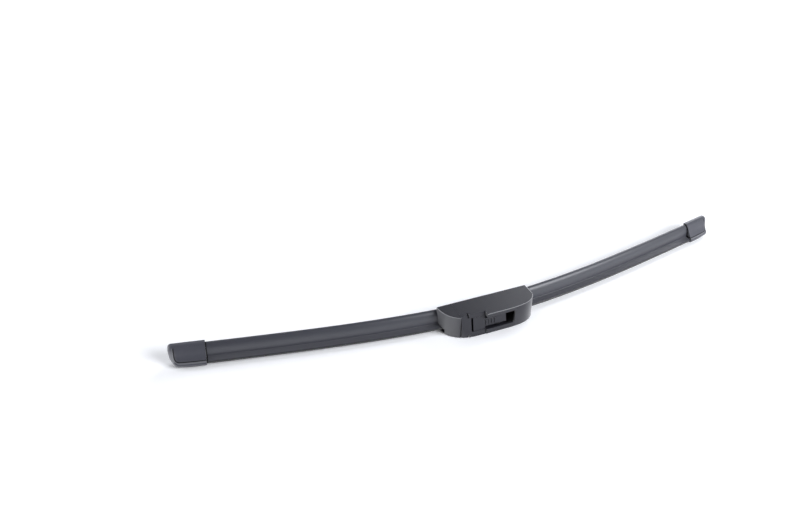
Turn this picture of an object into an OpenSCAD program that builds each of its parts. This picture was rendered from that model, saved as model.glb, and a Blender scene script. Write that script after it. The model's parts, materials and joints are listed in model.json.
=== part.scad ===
// Flat beam wiper blade, unloaded, lying on its leeward side.
// X runs along the blade and -Y points away from the glass, to the wiper arm.
// +Z is the windward side, which faces up as the blade lies.
// The origin is on the axis that the arm adapter rocks on, in the blade's middle plane.
// Sections are drawn as [n, z]: n is the height above the blade's base line, z the side.

/* [Blade] */
// Overall length along the bow, over both end caps
blade_len = 475; // [400:5:650]
// Radius of the bow at the middle of the blade
bow_r = 435; // [400:5:900]
// How fast the bow straightens towards the tips
bow_fade = 1.65; // [1.2:0.05:2.2]
// Height of the adapter's pivot above the base line
pivot_h = 14.3; // [13.8:0.1:14.8]

/* [Steel rails] */
// Width of each rail
rail_w = 3.9; // [3.5:0.1:4.1]
// Thickness of each rail
rail_t = 0.8; // [0.6:0.05:1]
// Distance from the rails' ends to the blade's tips
rail_setback = 6; // [5.5:0.5:8]

/* [Rubber] */
// Thickness of the web between the rails
web_t = 1.8; // [1.4:0.1:2]
// Width of the head above the rails
head_w = 5; // [4:0.2:5.4]
// Height of the head above the rails
head_h = 0.7; // [0.5:0.05:0.9]
// Width of the shoulder under the rails
shoulder_w = 6.2; // [5.4:0.2:6.6]
// Thickness of the neck that lets the lip fold over
neck_t = 0.9; // [0.7:0.1:1.2]
// Width of the wedge above the lip
wedge_w = 4.2; // [3.6:0.2:4.8]
// Depth of the wiping edge below the base line
lip_depth = 5.2; // [4.8:0.1:5.8]
// Thickness of the wiping edge
lip_t = 0.7; // [0.5:0.1:1]

/* [Spoiler] */
// Width of the spoiler over its claws
beam_w = 11.9; // [11.6:0.1:12.4]
// Height of the fin's tip
fin_h = 9.6; // [9:0.1:10]
// Height of the ramp where it meets the fin
ramp_h = 4.75; // [4.5:0.05:5]
// Thickness of the fin at its root
fin_root_t = 2.3; // [2:0.1:2.5]
// Thickness of the fin at its tip
fin_tip_t = 1.3; // [1:0.1:1.5]
// How far the fin's tip is flared out at the leeward side
fin_flare = 0.55; // [0.4:0.05:0.6]
// Thickness of the claw lips under the rails
claw_t = 0.6; // [0.5:0.05:0.8]
// Thickness of the claws' side walls
claw_wall = 0.85; // [0.7:0.05:0.95]
// How far the claw lips reach under the rails
claw_reach = 1.3; // [1:0.1:1.5]

/* [End caps] */
// Length of an end cap
cap_len = 26; // [22:1:32]
// Thickness of the cap's walls
cap_wall = 1; // [0.9:0.05:1.2]
// How far the spoiler reaches into a cap
cap_grip = 8; // [6:0.5:9]
// Thickness of the solid end behind the rails
cap_end = 5; // [4.5:0.5:7]
// Depth of the groove between the cap's face and its rim
cap_groove = 1.4; // [0.6:0.2:1.4]
// Corner radius of the tip, windward side
cap_r_high = 2.8; // [2:0.2:4]
// Corner radius of the tip, leeward side
cap_r_low = 2.4; // [2:0.2:4]

/* [Connector housing] */
// Length of the housing with its nose cover
house_len = 76.4; // [74:0.2:80]
// Width of the housing
house_w = 18.3; // [18:0.1:20]
// Height of the housing above the base line
house_h = 22.2; // [22:0.1:23]
// Distance from the pivot to the housing's middle
house_off = 5.1; // [4.5:0.1:6]
// Thickness of the housing's walls
house_wall = 1.5; // [1.2:0.1:1.6]
// Radius along the housing's rim
rim_r = 0.5; // [0.3:0.1:0.8]
// Distance from the pivot to the seam of the nose cover
seam_x = 32; // [31:0.2:33]
// Width of the open seam
seam_w = 0.8; // [0.4:0.1:1]
// Height of the bevelled deck at the windward edge
deck_h = 17.7; // [17.4:0.1:18]
// Slope of the deck
deck_slope = 12; // [10:0.5:13]
// Distance from the pivot to the deck's end
deck_x = 12; // [11:0.5:13]
// Width of the rim around the shallow side panels
panel_rim = 2; // [1.2:0.1:2.4]
// Height at which the side panels begin
panel_low = 5.5; // [4:0.5:7]

/* [Arm opening] */
// Distance from the pivot to the opening's left end
win_left = 23.8; // [23.6:0.1:24.4]
// Distance from the pivot to the opening's right end
win_right = 11.2; // [10.8:0.1:12]
// Width of the opening
win_w = 11; // [10.6:0.1:11.4]
// Shift of the opening to the windward side
win_shift = 0.6; // [0.3:0.1:0.8]
// Radius of the opening's corners
win_r = 1.4; // [0.8:0.1:2]

/* [Adapter] */
// Width of the adapter, which is that of the arm's hook
adapter_w = 9; // [8.6:0.1:9.2]
// Length of the adapter left of the pivot
adapter_len = 22.3; // [21.8:0.1:22.5]
// Radius of the round end that the hook wraps
hook_r = 4.9; // [4.6:0.1:5.1]
// Thickness of the adapter's plate
plate_t = 1.6; // [1.3:0.1:1.8]
// Distance from the pivot to the latch tongue's tip
tongue_tip = 5; // [4.4:0.1:5.2]
// Width of the latch tongue
tongue_w = 6.2; // [5.6:0.1:6.4]
// Thickness of the latch tongue
tongue_t = 1.2; // [1:0.1:1.4]
// How far the tongue's top lies below the plate's
tongue_low = 0.2; // [0.1:0.05:0.4]

/* [Bracket and rivet] */
// Length of the clamp bracket
bracket_len = 40; // [36:1:44]
// Thickness of the bracket's sheet
sheet_t = 1.2; // [1:0.1:1.3]
// Diameter of the pivot rivet
rivet_d = 4; // [3.6:0.1:4.4]
// Radius of the rivet's heads
rivet_head_r = 3.2; // [2.8:0.1:3.4]

/* [Hidden] */
// Clearances: a fixed seat, a sliding seat and the running fit of the pivot
seat_gap = 0.1;
slide_gap = 0.3;
run_gap = 0.05;
// Overshoot of a cut past the surface that it opens
past = 1;
// Steps along a long sweep and along a spoiler
long_steps = 30;
short_steps = 16;
// How far the cap's leeward skirt stands out, which carries the tip on the table
cap_skirt = 0.7;
half_w = beam_w / 2;
half_len = blade_len / 2;
// Heights of the section, from the claw lips up
rail_n = claw_t + seat_gap;
rail_top = rail_n + rail_t;
slot_top = rail_top + seat_gap;
head_top = slot_top + head_h;
channel_top = head_top + seat_gap;
rail_out = half_w - claw_wall - seat_gap;
rail_in = rail_out - rail_w;
channel_half = head_w / 2 + slide_gap;
// Inner ends of the spoilers, inside the housing
spoiler_left_end = bracket_len / 2 + 6;
spoiler_right_end = bracket_len / 2 + 4;
spoiler_tip = half_len - cap_len + cap_grip;
rubber_tip = half_len - rail_setback - 0.5;
// Places in the housing
house_low = -house_w / 2;
house_high = house_w / 2;
inner_half = house_w / 2 - house_wall;
bracket_in = adapter_w / 2 + slide_gap;
bracket_out = bracket_in + sheet_t;
bracket_top = channel_top + sheet_t;
tab_half = inner_half - slide_gap;
tab_x = 8;
$fn = 48;

// Heading of the bow at arc length s, in degrees
tip_turn = half_len / ((bow_fade + 1) * bow_r) * 180 / PI;
function bow_turn(s) = sign(s) * tip_turn * (1 - pow(1 - abs(s) / half_len, bow_fade + 1));
// Point of the base line at arc length s
function bow_point(s, n = 16) =
    let (h = [for (i = [0 : n - 1]) bow_turn(s * (i + 0.5) / n)])
    s / n * ([for (a = h) 1] * [for (a = h) [cos(a), sin(a)]]);

// Triangles of a flat outline, by cutting off one ear after another
function side_of(a, b, c) = (b.x - a.x) * (c.y - a.y) - (b.y - a.y) * (c.x - a.x);
function covers(p, a, b, c) =
    side_of(a, b, p) >= 0 && side_of(b, c, p) >= 0 && side_of(c, a, p) >= 0;
function is_ear(pts, a, b, c, rest) =
    side_of(pts[a], pts[b], pts[c]) > 0.000001
    && len([for (j = rest) if (covers(pts[j], pts[a], pts[b], pts[c])) j]) == 0;
function ear_at(pts, left, i = 0) =
    let (n = len(left), a = (i + n - 1) % n, c = (i + 1) % n)
    let (rest = [for (k = [0 : n - 1]) if (k != a && k != i && k != c) left[k]])
    i >= n - 1 || is_ear(pts, left[a], left[i], left[c], rest) ? i : ear_at(pts, left, i + 1);
function ears(pts, left) =
    let (n = len(left), i = n > 3 ? ear_at(pts, left) : 1)
    concat([[left[(i + n - 1) % n], left[i], left[(i + 1) % n]]],
        n > 3 ? ears(pts, [for (k = [0 : n - 1]) if (k != i) left[k]]) : []);

// Solid through a list of rings, whose ends are closed like the flat outline
module skin(rings, flat) {
    m = len(flat);
    last = len(rings) - 1;
    ends = ears(flat, [for (i = [0 : m - 1]) i]);
    points = [for (r = rings) for (p = r) p];
    faces = concat(
        [for (t = ends) [t[2], t[1], t[0]]],
        [for (t = ends) [for (k = t) last * m + k]],
        [for (i = [0 : last - 1], k = [0 : m - 1]) let (k2 = (k + 1) % m)
            [i * m + k, i * m + k2, (i + 1) * m + k2, (i + 1) * m + k]]
    );
    polyhedron(points, faces, convexity = 8);
}

// Carries a section along the bow from arc length s0 to s1
module sweep(section, s0, s1, steps) {
    skin([
        for (i = [0 : steps])
        let (s = s0 + (s1 - s0) * i / steps, c = bow_point(s), h = bow_turn(s))
            [for (p = section) [c.x + p.x * sin(h), pivot_h + c.y - p.x * cos(h), p.y]]
    ], section);
}

// Places things at arc length s, turned to the bow's heading there
module at_station(s) {
    c = bow_point(s);
    translate([c.x, pivot_h + c.y, 0]) rotate([0, 0, bow_turn(s)]) children();
}

// Extrudes a section straight along X, from x0 to x1
module along(x0, x1) {
    translate([x0, 0, 0]) rotate([90, 0, 90]) linear_extrude(x1 - x0)
        mirror([1, 0, 0]) children();
}

// Extrudes a side view, drawn as [x, n], from z0 to z1
module side_view(z0, z1) {
    translate([0, pivot_h, z0]) mirror([0, 1, 0]) linear_extrude(z1 - z0) children();
}

// Outline of the spoiler, grown by g for the seats around it
function beam_outline(g) = concat(
    [[-g, half_w + g]],
    [for (a = [0 : 15 : 90])
        [0.6 + (ramp_h - 0.6 + g) * sin(a),
         fin_root_t - half_w + g + (beam_w - fin_root_t) * cos(a)]],
    [for (t = [0.25 : 0.25 : 1])
        [ramp_h + g + (fin_h - 0.3 - ramp_h) * t,
         g - half_w + fin_root_t - (fin_root_t - fin_tip_t) * (2 - t) * t]],
    [[fin_h + g, fin_tip_t - half_w - 0.25 + g], [fin_h + g, 0.2 - half_w - fin_flare],
     [fin_h - 0.3 + g / 2, -half_w - fin_flare - g],
     [fin_h - 0.8, -half_w - fin_flare - g], [fin_h - 2.4, -half_w - g], [-g, -half_w - g]]
);

// Spoiler section: the outline, with claws and a channel for the rails and the head
function spoiler_section() =
    let (wall = half_w - claw_wall, lip = wall - claw_reach)
    [for (p = concat(
        [[0, lip], [0, half_w]],
        [for (q = beam_outline(0)) if (q.x > 0) q],
        [[0, -half_w], [0, -lip], [claw_t, -lip], [claw_t, -wall], [slot_top, -wall],
         [slot_top, -channel_half], [channel_top, -channel_half],
         [channel_top, channel_half], [slot_top, channel_half], [slot_top, wall],
         [claw_t, wall], [claw_t, lip]])) p];

// Reverses an outline that was drawn clockwise
function turned(pts) = [for (i = [len(pts) - 1 : -1 : 0]) pts[i]];

// Half of the rubber's section, from the head down to the wiping edge
function rubber_half() = [
    [head_top, head_w / 2 - 0.3], [head_top - 0.3, head_w / 2], [slot_top, head_w / 2],
    [slot_top, web_t / 2], [claw_t - seat_gap, web_t / 2], [claw_t - seat_gap, shoulder_w / 2],
    [-0.5, shoulder_w / 2], [-0.8, shoulder_w / 2 - 0.4], [-0.8, neck_t / 2],
    [-1.5, neck_t / 2], [-1.6, wedge_w / 2 - 0.2], [-1.9, wedge_w / 2],
    [-2.3, wedge_w / 2], [-3.1, wedge_w / 4], [-3.7, lip_t / 2 + 0.15],
    [-lip_depth, lip_t / 2]
];
function rubber_section() =
    let (half = rubber_half())
    concat(turned(half), [for (p = half) [p.x, -p.y]]);

module rail(z0) {
    color("#8f9398")
        sweep([[rail_n, z0], [rail_top, z0], [rail_top, z0 + rail_w], [rail_n, z0 + rail_w]],
            rail_setback - half_len, half_len - rail_setback, long_steps);
}

module rail_windward() {
    rail(rail_in);
}

module rail_leeward() {
    rail(-rail_out);
}

module wiping_rubber() {
    color("#1d1d20") sweep(turned(rubber_section()), -rubber_tip, rubber_tip, long_steps);
}

module spoiler(s0, s1) {
    color("#3c3e44") sweep(turned(spoiler_section()), s0, s1, short_steps);
}

module spoiler_left() {
    spoiler(-spoiler_tip, -spoiler_left_end);
}

module spoiler_right() {
    spoiler(spoiler_right_end, spoiler_tip);
}

// Outer section of an end cap: a smooth face, a groove of depth g and a rim by the fin
function cap_section(g) =
    let (w = cap_wall + slide_gap / 2, top = half_w + w, low = -half_w - w)
    [
        [-w, low], [0.5, low - cap_skirt], [fin_h - 0.7, low - cap_skirt],
        [fin_h + 0.5, low - 0.4], [fin_h + w, low + 0.7], [fin_h + w + 0.2, low + 1.6],
        [fin_h + w - 0.1, low + 2.5], [fin_h - 0.1, low + 3], [fin_h - 0.2 - g, low + 3.3],
        [fin_h - 0.4 - g, low + 3.8], [fin_h - 1.3, low + 4.6], [fin_h - 2.2, low + 5.6],
        [6.4, top - 7], [5.6, top - 5.3], [4.7, top - 3.6], [3.6, top - 2],
        [2.3, top - 0.7], [0.9, top], [-w, top]
    ];

// How far a tip corner of radius r has turned in at the distance x from the cap's mouth
function corner_inset(x, r) =
    x <= cap_len - r ? 0 : r - sqrt(max(0, r * r - pow(x - cap_len + r, 2)));

// The cap's section at the distance x from its mouth: it gets lower towards the tip,
// k times as high at the windward edge and k - d times as high at the leeward one
function cap_ring(x, g, k, d) =
    let (w = cap_wall + slide_gap / 2, low = -half_w - w - cap_skirt)
    let (wide = 2 * half_w + 2 * w + cap_skirt)
    let (in_low = corner_inset(x, cap_r_low), in_high = corner_inset(x, cap_r_high))
    let (narrow = 1 - (in_low + in_high) / wide)
    [for (p = cap_section(g)) let (high = k - d * (1 - (p.y - low) / wide))
        [x, w - (p.x + w) * high, low + in_low + (p.y - low) * narrow]];

// Outline of a cap's cavity: seat for the spoiler, open to the glass side for the rubber
// It is wider by extra at the windward side and under the fin, and its slot by half of that
function cap_cavity(extra) =
    let (g = slide_gap / 2, slot = shoulder_w / 2 + slide_gap + extra / 2 + g)
    let (seat = beam_outline(g), below = g + extra)
    concat(
        [[-cap_wall - past - extra, slot], [-g, slot]],
        [for (p = beam_outline(below)) if (p.x < ramp_h && p.y > 0) [max(p.x, -g), p.y]],
        [for (p = seat) if (p.x > ramp_h + g) p],
        [[ramp_h, -half_w - below], [-g, -half_w - below], [-g, -slot],
         [-cap_wall - past - extra, -slot]]
    );

// Room for the ends of the rails and of the rubber
function rail_pocket() =
    let (g = slide_gap / 2, slot = shoulder_w / 2 + slide_gap, out = rail_out + g)
    [[rail_n - g, slot], [rail_n - g, out], [rail_top + g, out], [rail_top + g, channel_half],
     [head_top + g, channel_half], [head_top + g, -channel_half], [rail_top + g, -channel_half],
     [rail_top + g, -out], [rail_n - g, -out], [rail_n - g, -slot],
     [-2 * cap_wall - 2 * past, -slot], [-2 * cap_wall - 2 * past, slot]];

// End cap in its own frame, with its mouth at X = 0 and its tip to +X
module end_cap() {
    difference() {
        skin([cap_ring(0, cap_groove, 1, 0), cap_ring(cap_len * 0.35, cap_groove, 0.985, 0.01),
            cap_ring(cap_len * 0.67, cap_groove, 0.95, 0.055),
            cap_ring(cap_len - 5, cap_groove * 0.6, 0.925, 0.07),
            cap_ring(cap_len - 3.4, cap_groove * 0.25, 0.91, 0.1),
            cap_ring(cap_len - 2.3, 0, 0.87, 0.16), cap_ring(cap_len - 1.2, 0, 0.81, 0.25),
            cap_ring(cap_len - 0.4, 0, 0.74, 0.33), cap_ring(cap_len, 0, 0.62, 0.36)],
            cap_section(cap_groove));
        along(-1.4 * past, 2) polygon(cap_cavity(cap_wall * 0.6));
        along(-1.2 * past, cap_grip + 0.5) polygon(cap_cavity(0));
        along(-past, cap_len - cap_end) polygon(rail_pocket());
    }
}

module end_cap_right() {
    color("#34363c") at_station(half_len - cap_len) end_cap();
}

module end_cap_left() {
    color("#34363c") mirror([1, 0, 0]) at_station(half_len - cap_len) end_cap();
}

// Boat-shaped outline of the housing, inset by d, with a blunter heel on the right
function boat(d, low) = concat(
    [[house_len / 2 - d - house_off, low]],
    [for (a = [3.75 : 3.75 : 176.25])
        [(house_len / 2 - d) * sign(cos(a)) * sqrt(abs(cos(a))) - house_off,
         (house_h - d) * (a < 90 ? pow(sin(a), 2 / 3) : sin(a))]],
    [[d - house_len / 2 - house_off, low]]
);

// Outer body of housing and nose cover, with its rounded rim
module boat_body() {
    rims = [for (a = [0 : 30 : 90]) [rim_r * (1 - sin(a)), rim_r * (1 - cos(a))]];
    layers = concat([for (r = rims) [house_low + r[1], r[0]]],
        [for (i = [3 : -1 : 0]) [house_high - rims[i][1], rims[i][0]]]);
    skin([for (l = layers) [for (p = boat(l[1], 0)) [p.x, pivot_h - p.y, l[0]]]], boat(0, 0));
}

// Space over the sloping deck from x0 to x1, moved outwards by lift
module over_deck(x0, x1, lift) {
    translate([x0, pivot_h - deck_h - lift, house_high]) rotate([-deck_slope, 0, 0])
        translate([0, -house_h, -2 * house_w]) cube([x1 - x0, house_h, 3 * house_w]);
}

// Slab between two heights over the deck's surface, and between two sides
module deck_slab(x0, x1, z0, z1, from, to) {
    intersection() {
        difference() {
            over_deck(x0, x1, from);
            over_deck(x0 - past, x1 + past, to);
        }
        translate([x0, -2 * house_h, z0]) cube([x1 - x0, 4 * house_h, z1 - z0]);
    }
}

// Hollow of the housing, under the walls and under the deck
module boat_hollow() {
    difference() {
        side_view(-inner_half, inner_half) polygon(boat(house_wall, -past));
        over_deck(-house_len, house_wall - deck_x, -house_wall / cos(deck_slope));
    }
}

// Opening for the spoiler where it enters, at arc length s
module mouth(s) {
    at_station(s) along(-10, 10) polygon(beam_outline(slide_gap));
}

// Shallow panels in both side faces, inside the rim
module side_panels() {
    depth = 0.35;
    for (z = [house_low - past, house_high - depth])
        difference() {
            side_view(z, z + depth + past)
                intersection() {
                    polygon(boat(panel_rim, 0));
                    translate([-house_len, panel_low]) square(2 * house_len);
                }
            over_deck(-house_len, panel_rim - deck_x, -panel_rim);
        }
}

// Raised field with a round end on the side panel
module side_field() {
    r = 3;
    mid = 11.4;
    side_view(-house_w, house_w) {
        translate([-win_left, mid]) circle(r);
        polygon([[-win_left, mid - r], [deck_x - 2 * r, mid - r], [deck_x, mid + r],
            [-win_left, mid + r]]);
    }
}

// Everything left of the seam for the nose cover, or right of it for the housing
module keep_side(x0, x1) {
    translate([x0, -2 * house_h, -house_w]) cube([x1 - x0, 4 * house_h, 2 * house_w]);
}

module housing() {
    color("#2f3136") {
        difference() {
            intersection() {
                boat_body();
                keep_side(seam_w / 2 - seam_x, house_len);
            }
            boat_hollow();
            over_deck(-house_len, -deck_x, 0);
            arm_window();
            mouth(house_len / 2 - house_off);
            difference() {
                side_panels();
                side_field();
            }
            snap_notches();
            heel_bevels();
        }
        for (side = [-1, 1])
            housing_lugs(side);
    }
}

// Bevels at the heel, on the edges of both side faces
module heel_bevels() {
    bevel = 2;
    heel = house_len / 2 - house_off;
    for (side = [-1, 1])
        mirror([0, 0, side < 0 ? 1 : 0])
            translate([heel - bevel, pivot_h - house_h, house_high]) rotate([0, 45, 0])
                cube([house_w, 2 * house_h, house_w]);
}

// Opening on the arm side, with round corners at its right end
module arm_window() {
    z0 = win_shift - win_w / 2;
    z1 = win_shift + win_w / 2;
    translate([0, pivot_h - house_h / 2, 0]) rotate([90, 0, 0]) linear_extrude(house_h) {
        polygon([[-win_left, z0], [win_right - win_r, z0], [win_right, z0 + win_r],
            [win_right, z1 - win_r], [win_right - win_r, z1], [-win_left, z1]]);
        for (z = [z0 + win_r, z1 - win_r])
            translate([win_right - win_r, z]) circle(win_r);
    }
}

// Lugs inside a side wall that trap the bracket's tab from below, above and both ends
module housing_lugs(side) {
    z0 = bracket_out + slide_gap;
    z1 = inner_half + 0.2;
    low = bracket_top - sheet_t - seat_gap;
    high = bracket_top + seat_gap;
    mirror([0, 0, side < 0 ? 1 : 0])
        side_view(z0, z1) {
            translate([-tab_x, low - 1.2]) square([2 * tab_x, 1.2]);
            translate([-tab_x, high]) square([2 * tab_x, 1.2]);
            for (x = [-tab_x - 1.2, tab_x])
                translate([x, low - 1.2]) square([1.2, high - low + 2.4]);
        }
}

// Notches at both edges of the deck, where the nose cover's arms snap in
notch_x = seam_x - 6;
notch_w = 1.4;
notch_low = 15.2;
arm_low = 13.2;
arm_high = 16;
module snap_notches() {
    for (z = [-house_w, inner_half - past])
        side_view(z, z + house_w - inner_half + past)
            translate([-notch_x - notch_w / 2, notch_low]) square([notch_w, house_h]);
}

module nose_cover() {
    color("#34363c") {
        difference() {
            intersection() {
                boat_body();
                keep_side(-house_len, -seam_w / 2 - seam_x);
            }
            boat_hollow();
            mouth(-house_len / 2 - house_off + 4);
            low_mouth();
            side_panels();
        }
        for (side = [-1, 1])
            snap_arm(side);
    }
}

// Free space under the fin, so that the nose cover can be pulled off sideways
module low_mouth() {
    translate([-house_len / 2 - house_off - past, pivot_h - fin_h - 0.6, past - house_high])
        cube([past + 5, fin_h + past, house_high - half_w]);
}

// Arm on the nose cover's inner wall that reaches into the housing and hooks its notch
module snap_arm(side) {
    z1 = inner_half - seat_gap;
    z0 = z1 - 1.1;
    mirror([0, 0, side < 0 ? 1 : 0]) {
        side_view(z0, z1)
            translate([-notch_x - 2.5 * notch_w - 6, arm_low])
                square([2.5 * notch_w + 6 + notch_w, arm_high - arm_low]);
        side_view(z1 - past, z1 + house_wall - 0.6)
            translate([seat_gap - notch_x - notch_w / 2, notch_low + seat_gap])
                square([notch_w - 2 * seat_gap, arm_high - notch_low - seat_gap]);
        side_view(z0, inner_half + 0.2)
            translate([-notch_x - 2.5 * notch_w - 6, arm_low])
                square([4, arm_high - arm_low]);
    }
}

// Bracket section: a channel over both rails, with claws that grip their edges
function bracket_section() =
    let (wall = rail_out + seat_gap, out = bracket_out, lip = wall - claw_reach)
    [[0, -lip], [0, -out], [bracket_top, -out], [bracket_top, out], [0, out], [0, lip],
     [claw_t, lip], [claw_t, wall], [slot_top, wall], [slot_top, channel_half],
     [channel_top, channel_half], [channel_top, -channel_half], [slot_top, -channel_half],
     [slot_top, -wall], [claw_t, -wall], [claw_t, -lip]];

module clamp_bracket() {
    ear_r = rivet_d / 2 + 1.5;
    color("#6d7075") {
        sweep(bracket_section(), -bracket_len / 2, bracket_len / 2, 4);
        for (side = [-1, 1])
            mirror([0, 0, side < 0 ? 1 : 0]) {
                difference() {
                    side_view(bracket_in, bracket_out) {
                        polygon([[-9, bracket_top - 0.8], [9, bracket_top - 0.8],
                            [ear_r, pivot_h], [-ear_r, pivot_h]]);
                        translate([0, pivot_h]) circle(ear_r);
                    }
                    translate([0, 0, bracket_in - past])
                        cylinder(h = sheet_t + 2 * past, d = rivet_d + 2 * run_gap);
                }
                side_view(bracket_out - 0.3, tab_half)
                    translate([slide_gap - tab_x, bracket_top - sheet_t])
                        square([2 * (tab_x - slide_gap), sheet_t]);
            }
    }
}

module pivot_rivet() {
    head_t = 0.8;
    color("#b5b8bd") {
        inner = bracket_out + run_gap;
        translate([0, 0, -inner]) cylinder(h = 2 * inner, d = rivet_d);
        for (z = [-inner - head_t, inner])
            translate([0, 0, z]) cylinder(h = head_t, r = rivet_head_r);
    }
}

// Adapter: a plate and latch tongue in the opening, on two cheeks and a hub that snaps on
module adapter() {
    half = adapter_w / 2;
    cheek_t = 1.2;
    cheek_top = pivot_h + hook_r - 2;
    neck = rivet_d * 0.8;
    z_low = win_shift - win_w / 2 + slide_gap;
    z_high = win_shift + win_w / 2 - slide_gap;
    color("#25272b")
        difference() {
            union() {
                deck_slab(-adapter_len, -deck_x - past, z_low, z_high, -plate_t, 0);
                deck_slab(-deck_x - 2 * past, tongue_tip, -tongue_w / 2, tongue_w / 2,
                    -tongue_t, -tongue_low);
                for (x = [-deck_x : 2.4 : -4])
                    deck_slab(x, x + 0.9, -tongue_w / 3, tongue_w / 3, -tongue_t, 0.35);
                difference() {
                    union() {
                        for (z = [-half, half - cheek_t])
                            side_view(z, z + cheek_t)
                                polygon([[-adapter_len, pivot_h + 1], [-6, pivot_h - 3.4],
                                    [0, pivot_h - hook_r], [0, cheek_top],
                                    [-deck_x, cheek_top],
                                    [-deck_x - past, deck_h + house_high],
                                    [-adapter_len, deck_h + house_high]]);
                        translate([0, 0, -half]) cylinder(h = adapter_w, r = hook_r);
                    }
                    over_deck(-house_len, -deck_x + past, -plate_t / 2);
                    side_view(-house_w, house_w)
                        translate([-deck_x, cheek_top]) square([2 * deck_x, house_h]);
                }
            }
            translate([0, 0, -half - past])
                cylinder(h = adapter_w + 2 * past, d = rivet_d + 2 * run_gap);
            translate([-neck / 2, 0, -half - past])
                cube([neck, hook_r + past, adapter_w + 2 * past]);
        }
}

wiping_rubber();
rail_windward();
rail_leeward();
spoiler_left();
spoiler_right();
end_cap_left();
end_cap_right();
clamp_bracket();
pivot_rivet();
adapter();
housing();
nose_cover();
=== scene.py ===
"""Dresses the wiper blade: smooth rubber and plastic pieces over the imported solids.

Lengths are in metres. Only outlines and the sizes of BeamSection and EndCaps are in mm, and MM
scales them where they are put in place. X runs along the blade, -Y is the side of the wiper arm
and +Z is the windward side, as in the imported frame.
"""

from __future__ import annotations

import json
import logging
import math
from dataclasses import dataclass, field
from enum import Enum

import bmesh
import bpy
import numpy as np
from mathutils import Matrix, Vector

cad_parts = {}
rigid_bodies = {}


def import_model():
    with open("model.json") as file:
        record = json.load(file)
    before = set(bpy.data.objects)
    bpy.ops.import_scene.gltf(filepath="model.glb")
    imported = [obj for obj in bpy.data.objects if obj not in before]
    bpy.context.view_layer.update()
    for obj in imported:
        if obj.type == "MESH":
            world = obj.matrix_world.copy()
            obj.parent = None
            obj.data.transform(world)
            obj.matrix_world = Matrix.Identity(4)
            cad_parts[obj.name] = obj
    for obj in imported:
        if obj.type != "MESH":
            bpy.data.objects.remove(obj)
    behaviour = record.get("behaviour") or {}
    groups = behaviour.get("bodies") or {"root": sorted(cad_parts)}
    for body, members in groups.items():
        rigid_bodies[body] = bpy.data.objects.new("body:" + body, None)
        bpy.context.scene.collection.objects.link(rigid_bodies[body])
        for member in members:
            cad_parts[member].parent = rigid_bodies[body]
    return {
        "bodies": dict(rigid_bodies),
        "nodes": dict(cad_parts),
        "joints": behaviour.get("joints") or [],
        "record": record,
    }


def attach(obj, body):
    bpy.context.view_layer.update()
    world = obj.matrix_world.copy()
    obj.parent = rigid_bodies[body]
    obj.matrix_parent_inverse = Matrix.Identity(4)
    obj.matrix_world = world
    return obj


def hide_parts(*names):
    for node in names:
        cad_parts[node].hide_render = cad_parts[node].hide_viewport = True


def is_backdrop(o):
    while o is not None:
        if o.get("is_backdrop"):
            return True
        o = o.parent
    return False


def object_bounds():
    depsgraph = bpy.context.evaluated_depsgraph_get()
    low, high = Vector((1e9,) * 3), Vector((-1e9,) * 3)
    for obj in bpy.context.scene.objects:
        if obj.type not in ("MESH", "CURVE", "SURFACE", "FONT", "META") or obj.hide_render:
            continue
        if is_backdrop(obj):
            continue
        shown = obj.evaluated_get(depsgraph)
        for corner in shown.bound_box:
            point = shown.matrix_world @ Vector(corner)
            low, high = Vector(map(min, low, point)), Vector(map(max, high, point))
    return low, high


LOG = logging.getLogger("wiper_blade")
MM = 0.001


class Body(str, Enum):
    """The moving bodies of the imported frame."""

    BLADE = "blade"
    ADAPTER = "arm_adapter"


class Slot(str, Enum):
    """The record's material slots."""

    RUBBER = "wiping_rubber"
    SPOILER = "spoiler_rubber"
    RAIL = "rail_steel"
    CAP = "cap_plastic"
    HOUSING = "housing_plastic"
    ADAPTER = "adapter_plastic"
    BRACKET = "bracket_steel"
    RIVET = "rivet_steel"


# ---------------------------------------------------------------- shader tools

FLOAT, COLOUR, VECTOR = "NodeSocketFloat", "NodeSocketColor", "NodeSocketVector"


def add_node(tree: bpy.types.NodeTree, kind: str, **values: object) -> bpy.types.Node:
    """Adds a shader node and sets its properties and unlinked sockets.

    Args:
        tree: The node tree that gets the node.
        kind: The node's type name, without ShaderNode before it.
        values: Property names, or socket names with spaces written as underscores.

    Returns:
        The new node.
    """
    node = tree.nodes.new(f"ShaderNode{kind}")
    for name, value in values.items():
        if hasattr(node, name):
            setattr(node, name, value)
        else:
            node.inputs[name.replace("_", " ")].default_value = value
    return node


def maths(tree: bpy.types.NodeTree, operation: str, *values: float | None) -> bpy.types.Node:
    """Adds a math node.

    Args:
        tree: The node tree that gets the node.
        operation: What it does.
        values: The sockets' values in order, or None for one that stays as it is.

    Returns:
        The new node.
    """
    node = add_node(tree, "Math", operation=operation)
    for socket, value in zip(node.inputs, values):
        if value is not None:
            socket.default_value = value
    return node


def wire(tree: bpy.types.NodeTree, *links: tuple) -> None:
    """Links sockets.

    Args:
        tree: The node tree.
        links: Rows of source node, its output, target node and its input, by name or number.
    """
    for source, out, target, into in links:
        tree.links.new(source.outputs[out], target.inputs[into])


def group_tree(name: str, inputs: dict[str, str], outputs: dict[str, str]) -> tuple:
    """Starts a shader node group with named sockets.

    Args:
        name: The group's name.
        inputs: Socket names and their socket types.
        outputs: Socket names and their socket types.

    Returns:
        The group, its input node and its output node.
    """
    tree = bpy.data.node_groups.new(name, "ShaderNodeTree")
    for way, sockets in (("INPUT", inputs), ("OUTPUT", outputs)):
        for label, kind in sockets.items():
            tree.interface.new_socket(name=label, in_out=way, socket_type=kind)
    return tree, tree.nodes.new("NodeGroupInput"), tree.nodes.new("NodeGroupOutput")


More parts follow.
